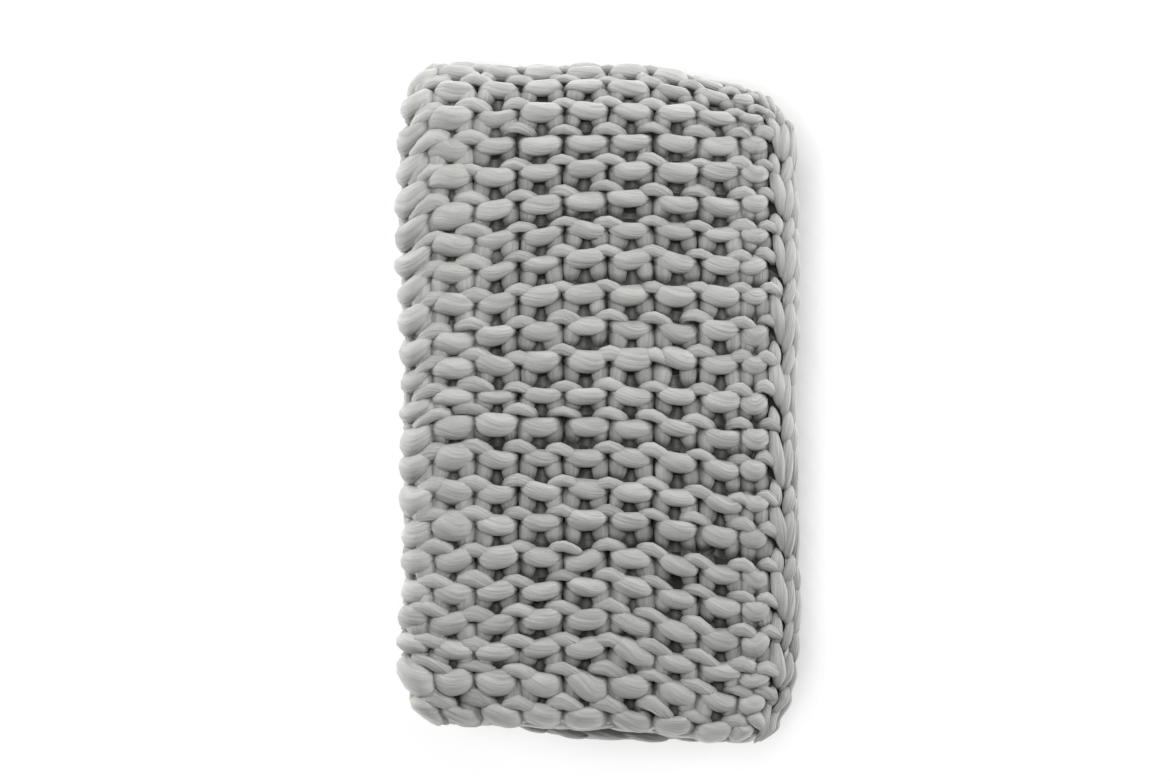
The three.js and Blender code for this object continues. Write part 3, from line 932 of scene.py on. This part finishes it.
def floor_material(stage):
    """A plain floor, pale by its own glow, evenly white away from the pile and with a painted shadow at its
    foot.

    The camera sees the glow, which grows with the distance from the pile's middle, times the painted shadow,
    which is the share of open space near a point. The pile gets the same light from all of the floor.
    """
    material = bpy.data.materials.new("floor")
    material.use_nodes = True
    tree = material.node_tree
    shader = tree.nodes["Principled BSDF"]
    set_inputs(shader, {"Base Color": FLOOR_COLOUR, "Roughness": FLOOR_ROUGHNESS,
                        "Specular IOR Level": FLOOR_SPECULAR, "Emission Color": WHITE})
    place = add_node(tree, "ShaderNodeTexCoord", (-900, 0))
    away = add_node(tree, "ShaderNodeVectorMath", (-650, 0), operation="LENGTH")
    tree.links.new(place.outputs["Object"], away.inputs[0])
    glow = add_node(tree, "ShaderNodeMapRange", (-400, 0),
                    {"From Min": GLOW_NEAR, "From Max": GLOW_FAR, "To Min": stage.floor_glow},
                    interpolation_type="SMOOTHSTEP")
    tree.links.new(away.outputs["Value"], glow.inputs["Value"])
    # Painted shadow: the floor's glow is darkened by the occlusion near the pile, seen towards SHADE_FROM.
    toward = add_node(tree, "ShaderNodeCombineXYZ", (-900, -250), dict(zip("XYZ", SHADE_FROM)))
    near = add_node(tree, "ShaderNodeAmbientOcclusion", (-650, -250), {"Distance": stage.shade_reach})
    tree.links.new(toward.outputs["Vector"], near.inputs["Normal"])
    shade = add_node(tree, "ShaderNodeMapRange", (-400, -300),
                     {"From Min": SHADE_DARKEST, "To Min": stage.shade})
    tree.links.new(near.outputs["AO"], shade.inputs["Value"])
    seen = add_node(tree, "ShaderNodeMath", (-150, -150), operation="MULTIPLY")
    tree.links.new(glow.outputs["Result"], seen.inputs[0])
    tree.links.new(shade.outputs["Result"], seen.inputs[1])
    # The pile is lit by the floor's bounce glow; the camera sees the glow with its painted shadow.
    ray = add_node(tree, "ShaderNodeLightPath", (-150, 250))
    emitted = add_node(tree, "ShaderNodeMix", (50, 0), {"A": stage.floor_bounce_glow}, data_type="FLOAT")
    tree.links.new(ray.outputs["Is Camera Ray"], emitted.inputs["Factor"])
    tree.links.new(seen.outputs["Value"], emitted.inputs["B"])
    tree.links.new(emitted.outputs["Result"], shader.inputs["Emission Strength"])
    return material


class THROW_OT_stage(Operator):
    """Set the pale floor, the soft lights and the camera"""

    bl_idname = "throw.stage"
    bl_label = "Set Stage"

    def execute(self, context):
        scene = context.scene
        stage = scene.throw_stage
        top = Folds(scene.throw_fold).bend_radius * 2
        self.make_floor(scene, stage)
        self.make_lights(scene, stage)
        camera = bpy.data.objects.new("camera", bpy.data.cameras.new("camera"))
        camera.data.lens = stage.lens
        camera.data.sensor_width = SENSOR_WIDTH
        camera.location = (*stage.camera_shift, top + stage.camera_height)
        scene.collection.objects.link(camera)
        scene.camera = camera
        scene.view_settings.view_transform = "Standard"
        return {"FINISHED"}

    def make_floor(self, scene, stage):
        """A plain floor under the pile, pale by its own glow."""
        half = stage.floor_size / 2
        mesh = bpy.data.meshes.new("floor")
        mesh.from_pydata([(-half, -half, 0), (half, -half, 0), (half, half, 0), (-half, half, 0)], [],
                         [(0, 1, 2, 3)])
        mesh.materials.append(floor_material(stage))
        floor = bpy.data.objects.new("floor", mesh)
        floor.location.z = -FLOOR_DROP
        scene.collection.objects.link(floor)

    def make_lights(self, scene, stage):
        """A light over the far half, large ones at three sides, a low one in front, and an even sky."""
        for name, place, size in LIGHTS:
            light = bpy.data.lights.new(name, "AREA")
            light.shape = "SQUARE"
            light.size = size
            light.energy = getattr(stage, f"{name}_power")
            lamp = bpy.data.objects.new(name, light)
            lamp.location = place
            lamp.rotation_euler = (-lamp.location).to_track_quat("-Z", "Y").to_euler()
            scene.collection.objects.link(lamp)
        world = bpy.data.worlds.new("studio")
        world.use_nodes = True
        set_inputs(world.node_tree.nodes["Background"], {"Color": WHITE, "Strength": stage.sky})
        scene.world = world


class THROW_PT_panel(Panel):
    """Settings and steps of the folded throw"""

    bl_label = "Folded Throw"
    bl_idname = "THROW_PT_panel"
    bl_space_type = "VIEW_3D"
    bl_region_type = "UI"
    bl_category = "Throw"

    def draw(self, context):
        scene = context.scene
        for attribute in GROUPS:
            group = getattr(scene, attribute)
            box = self.layout.box()
            for name in group.bl_rna.properties.keys():
                if name not in ("rna_type", "name"):
                    box.prop(group, name)
        for operator in OPERATORS:
            self.layout.operator(operator.bl_idname)


GROUPS = {
    "throw_fold": ThrowFold,
    "throw_knit": ThrowKnit,
    "throw_look": ThrowLook,
    "throw_stage": ThrowStage,
}
OPERATORS = (
    THROW_OT_knit_rows,
    THROW_OT_edge_chains,
    THROW_OT_end_chains,
    THROW_OT_ground,
    THROW_OT_stage,
)


def register():
    for name, group in GROUPS.items():
        bpy.utils.register_class(group)
        setattr(bpy.types.Scene, name, PointerProperty(type=group))
    for cls in (*OPERATORS, THROW_PT_panel):
        bpy.utils.register_class(cls)


def unregister():
    for cls in reversed((*OPERATORS, THROW_PT_panel)):
        bpy.utils.unregister_class(cls)
    for name, group in reversed(GROUPS.items()):
        delattr(bpy.types.Scene, name)
        bpy.utils.unregister_class(group)


def main():
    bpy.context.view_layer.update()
    register()
    bpy.ops.throw.knit_rows()
    bpy.ops.throw.edge_chains()
    bpy.ops.throw.end_chains()
    bpy.ops.throw.ground()
    bpy.ops.throw.stage()


if __name__ == "__main__":
    main()
